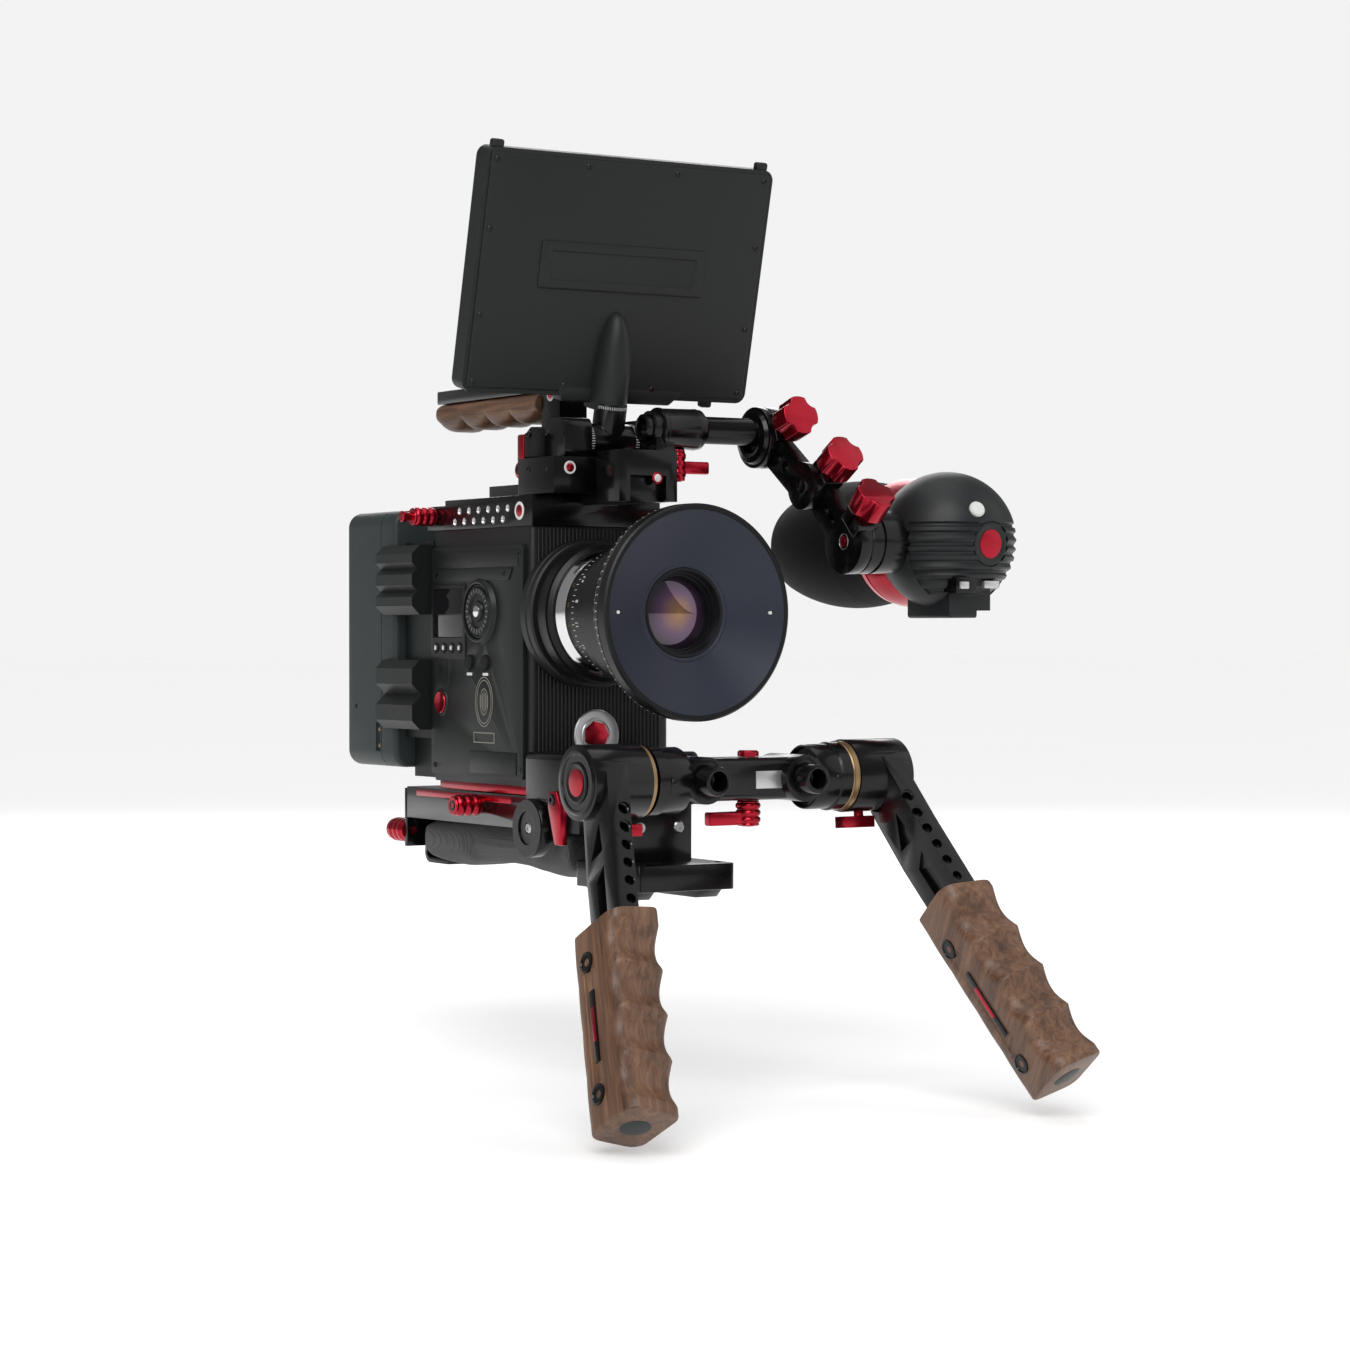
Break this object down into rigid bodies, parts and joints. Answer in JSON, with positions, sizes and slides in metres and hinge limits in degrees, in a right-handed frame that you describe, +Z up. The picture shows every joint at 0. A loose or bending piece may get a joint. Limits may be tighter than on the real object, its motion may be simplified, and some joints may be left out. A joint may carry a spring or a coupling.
{
  "type": "cinema camera rig",
  "caption": "Shoulder-mounted cinema camera with wide lens, tilting monitor, jointed viewfinder arm, rear battery and swinging wooden front grips.",
  "frame": {"origin": "mouth of the tripod socket in the underside of the tripod plate", "axes": "+Z up, -Y the way the lens looks, +X to the camera's own left"},
  "size_m": [0.3373, 0.4939, 0.5015],
  "materials": {
    "body_black": "matte",
    "anodised_black": "gloss anodised",
    "crimson": "gloss anodised",
    "walnut": "oiled",
    "battery_grey": "matte",
    "glass": "coated",
    "screen": "gloss",
    "rubber": "soft",
    "steel": "brushed",
    "chrome": "polished",
    "circuit": "board",
    "white_key": "satin",
    "lens_black": "satin",
    "dish_blue": "satin"
  },
  "bodies": {
    "base": {"tripod_plate": "anodised_black", "baseplate": "anodised_black", "shoulder_frame": "anodised_black", "shoulder_pad": "rubber", "support_rods": "anodised_black"},
    "side_lever": {"side_lever": "crimson"},
    "rear_lever": {"rear_lever": "crimson"},
    "release_lever": {"release_lever": "crimson"},
    "camera": {"quick_release_plate": "crimson", "camera_body": "body_black", "sensor_block": "circuit", "side_panel": "body_black", "display_glass": "screen", "lens_mount": "body_black", "top_plate": "anodised_black", "io_housing": "body_black", "lens_barrel": "chrome", "front_barrel": "dish_blue", "front_glass": "glass", "monitor_mount": "body_black"},
    "menu_dial": {"menu_dial": "body_black"},
    "record_button": {"record_button": "crimson"},
    "top_plate_lever": {"top_plate_lever": "crimson"},
    "battery": {"battery_pack": "battery_grey"},
    "lock_ring": {"lens_lock_ring": "lens_black"},
    "iris_ring": {"iris_ring": "lens_black"},
    "focus_ring": {"focus_ring": "lens_black"},
    "focus_group": {"focus_group": "glass"},
    "monitor_knob": {"monitor_knob": "body_black"},
    "tilt_head": {"tilt_tube": "body_black"},
    "monitor": {"monitor_shell": "body_black", "monitor_screen": "screen"},
    "handle": {"handle_frame": "anodised_black", "handle_wood": "walnut"},
    "handle_lever": {"handle_lever": "crimson"},
    "evf_clamp": {"evf_clamp": "anodised_black"},
    "evf_clamp_lever": {"evf_clamp_lever": "crimson"},
    "evf_rod": {"evf_rod": "anodised_black"},
    "link_one": {"link_one": "anodised_black"},
    "link_two": {"link_two": "anodised_black"},
    "star_knob_1": {"star_knob_1": "crimson"},
    "star_knob_2": {"star_knob_2": "crimson"},
    "star_knob_3": {"star_knob_3": "crimson"},
    "viewfinder": {"evf_body": "body_black"},
    "evf_button": {"evf_button": "white_key"},
    "eyecup": {"eyecup": "rubber"},
    "crossbar": {"crossbar": "anodised_black"},
    "crossbar_lever": {"crossbar_lever": "crimson"},
    "left_arm": {"left_arm": "anodised_black", "left_grip": "walnut"},
    "right_arm": {"right_arm": "anodised_black", "right_grip": "walnut"},
    "left_trigger": {"left_trigger": "crimson"},
    "right_trigger": {"right_trigger": "crimson"},
    "soft_key_1": {"soft_key_1": "white_key"},
    "soft_key_2": {"soft_key_2": "white_key"},
    "soft_key_3": {"soft_key_3": "white_key"},
    "soft_key_4": {"soft_key_4": "white_key"},
    "function_button_1": {"function_button_1": "body_black"},
    "function_button_2": {"function_button_2": "body_black"}
  },
  "joints": [
    {"name": "camera_slide", "type": "slide", "parent": "base", "child": "camera", "axis": [0, 1, 0], "range_m": [0, 0.03]},
    {"name": "side_lever_turn", "type": "hinge", "parent": "base", "child": "side_lever", "pos_m": [-0.042, 0.118, 0.039], "axis": [1, 0, 0], "range_deg": [-90, 0]},
    {"name": "rear_lever_turn", "type": "hinge", "parent": "base", "child": "rear_lever", "pos_m": [-0.029, 0.217, 0.02], "axis": [0, 1, 0], "range_deg": [-90, 0]},
    {"name": "release_lever_turn", "type": "hinge", "parent": "base", "child": "release_lever", "pos_m": [-0.042, 0.013, 0.0465], "axis": [1, 0, 0], "range_deg": [-90, 0]},
    {"name": "top_plate_lever_turn", "type": "hinge", "parent": "camera", "child": "top_plate_lever", "pos_m": [-0.042, 0.17, 0.202], "axis": [1, 0, 0], "range_deg": [-90, 90]},
    {"name": "menu_dial_turn", "type": "hinge", "parent": "camera", "child": "menu_dial", "pos_m": [-0.036, 0.1115, 0.1475], "axis": [1, 0, 0], "continuous": true},
    {"name": "soft_key_1_push", "type": "slide", "parent": "camera", "child": "soft_key_1", "axis": [1, 0, 0], "range_m": [0, 0.001], "stiffness_N_per_m": 400, "springref_m": -0.0008},
    {"name": "soft_key_2_push", "type": "slide", "parent": "camera", "child": "soft_key_2", "axis": [1, 0, 0], "range_m": [0, 0.001], "stiffness_N_per_m": 400, "springref_m": -0.0008},
    {"name": "soft_key_3_push", "type": "slide", "parent": "camera", "child": "soft_key_3", "axis": [1, 0, 0], "range_m": [0, 0.001], "stiffness_N_per_m": 400, "springref_m": -0.0008},
    {"name": "soft_key_4_push", "type": "slide", "parent": "camera", "child": "soft_key_4", "axis": [1, 0, 0], "range_m": [0, 0.001], "stiffness_N_per_m": 400, "springref_m": -0.0008},
    {"name": "function_button_1_push", "type": "slide", "parent": "camera", "child": "function_button_1", "axis": [1, 0, 0], "range_m": [0, 0.001], "stiffness_N_per_m": 400, "springref_m": -0.0008},
    {"name": "function_button_2_push", "type": "slide", "parent": "camera", "child": "function_button_2", "axis": [1, 0, 0], "range_m": [0, 0.001], "stiffness_N_per_m": 400, "springref_m": -0.0008},
    {"name": "record_button_push", "type": "slide", "parent": "camera", "child": "record_button", "axis": [1, 0, 0], "range_m": [0, 0.001], "stiffness_N_per_m": 400, "springref_m": -0.0008},
    {"name": "battery_lift", "type": "slide", "parent": "camera", "child": "battery", "axis": [0, 0, 1], "range_m": [0, 0.04]},
    {"name": "lock_ring_turn", "type": "hinge", "parent": "camera", "child": "lock_ring", "pos_m": [0, 0.0387, 0.146], "axis": [0, 1, 0], "range_deg": [0, 40]},
    {"name": "iris_turn", "type": "hinge", "parent": "camera", "child": "iris_ring", "pos_m": [0, 0.0011, 0.146], "axis": [0, 1, 0], "range_deg": [-40, 40]},
    {"name": "focus_turn", "type": "hinge", "parent": "camera", "child": "focus_ring", "pos_m": [0, -0.0262, 0.146], "axis": [0, 1, 0], "range_deg": [-140, 140]},
    {"name": "focus_group_travel", "type": "slide", "parent": "camera", "child": "focus_group", "axis": [0, 1, 0], "range_m": [-0.003, 0.003]},
    {"name": "monitor_knob_turn", "type": "hinge", "parent": "camera", "child": "monitor_knob", "pos_m": [-0.0255, 0.067, 0.24], "axis": [0, 0, 1], "range_deg": [-180, 180]},
    {"name": "monitor_tilt", "type": "hinge", "parent": "camera", "child": "tilt_head", "pos_m": [0.009, 0.05, 0.2405], "axis": [1, 0, 0], "range_deg": [-25, 25]},
    {"name": "monitor_swivel", "type": "hinge", "parent": "tilt_head", "child": "monitor", "pos_m": [0.009, 0.05, 0.2405], "axis": [0, -0.2334, 0.9724], "range_deg": [-10, 20]},
    {"name": "handle_slide", "type": "slide", "parent": "camera", "child": "handle", "axis": [0, 1, 0], "range_m": [0, 0.03]},
    {"name": "handle_lever_turn", "type": "hinge", "parent": "handle", "child": "handle_lever", "pos_m": [-0.017, 0.095, 0.226], "axis": [1, 0, 0], "range_deg": [-60, 60]},
    {"name": "evf_clamp_slide", "type": "slide", "parent": "camera", "child": "evf_clamp", "axis": [0, 1, 0], "range_m": [-0.006, 0.004]},
    {"name": "evf_clamp_lever_turn", "type": "hinge", "parent": "evf_clamp", "child": "evf_clamp_lever", "pos_m": [0.034, 0.017, 0.2265], "axis": [0, 0, 1], "range_deg": [-90, 20]},
    {"name": "evf_rod_slide", "type": "slide", "parent": "evf_clamp", "child": "evf_rod", "axis": [1, 0, 0], "range_m": [-0.03, 0.02]},
    {"name": "link_one_turn", "type": "hinge", "parent": "evf_rod", "child": "link_one", "pos_m": [0.0893, 0.017, 0.2435], "axis": [1, 0, 0], "range_deg": [-40, 25]},
    {"name": "link_two_turn", "type": "hinge", "parent": "link_one", "child": "link_two", "pos_m": [0.0966, -0.02198, 0.21549], "axis": [1, 0, 0], "range_deg": [-30, 30]},
    {"name": "viewfinder_turn", "type": "hinge", "parent": "link_two", "child": "viewfinder", "pos_m": [0.1039, -0.05185, 0.18456], "axis": [1, 0, 0], "range_deg": [-40, 40]},
    {"name": "star_knob_1_turn", "type": "hinge", "parent": "link_one", "child": "star_knob_1", "pos_m": [0.0928, 0.017, 0.2435], "axis": [0, -0.9511, 0.309], "range_deg": [-180, 180]},
    {"name": "star_knob_2_turn", "type": "hinge", "parent": "link_two", "child": "star_knob_2", "pos_m": [0.1001, -0.02198, 0.21549], "axis": [0, -0.848, 0.5299], "range_deg": [-180, 180]},
    {"name": "star_knob_3_turn", "type": "hinge", "parent": "link_two", "child": "star_knob_3", "pos_m": [0.1001, -0.05185, 0.18456], "axis": [0, -0.7071, 0.7071], "range_deg": [-180, 180]},
    {"name": "evf_button_push", "type": "slide", "parent": "viewfinder", "child": "evf_button", "axis": [0.1304, 0.8927, -0.4313], "range_m": [0, 0.001], "stiffness_N_per_m": 400, "springref_m": -0.0008},
    {"name": "eyecup_turn", "type": "hinge", "parent": "viewfinder", "child": "eyecup", "pos_m": [0.1626, 0.00415, 0.18556], "axis": [0, 1, 0], "continuous": true},
    {"name": "crossbar_slide", "type": "slide", "parent": "base", "child": "crossbar", "axis": [0, 1, 0], "range_m": [-0.008, 0.06]},
    {"name": "crossbar_lever_turn", "type": "hinge", "parent": "crossbar", "child": "crossbar_lever", "pos_m": [0.005, -0.098, 0.061], "axis": [0, 0, 1], "range_deg": [0, 90]},
    {"name": "left_grip_swing", "type": "hinge", "parent": "crossbar", "child": "left_arm", "pos_m": [-0.083, -0.098, 0.061], "axis": [1, 0, 0], "range_deg": [-50, 70]},
    {"name": "left_trigger_pull", "type": "slide", "parent": "left_arm", "child": "left_trigger", "axis": [0, 0.0035, 1], "range_m": [0, 0.002], "stiffness_N_per_m": 600, "springref_m": -0.0015},
    {"name": "right_grip_swing", "type": "hinge", "parent": "crossbar", "child": "right_arm", "pos_m": [0.083, -0.098, 0.061], "axis": [1, 0, 0], "range_deg": [-50, 70]},
    {"name": "right_trigger_pull", "type": "slide", "parent": "right_arm", "child": "right_trigger", "axis": [0, 0.075, 0.9972], "range_m": [0, 0.002], "stiffness_N_per_m": 600, "springref_m": -0.0015}
  ],
  "couplings": [
    {"joint": "focus_group_travel", "follows": "focus_turn", "m_per_rad": 0.0012}
  ]
}
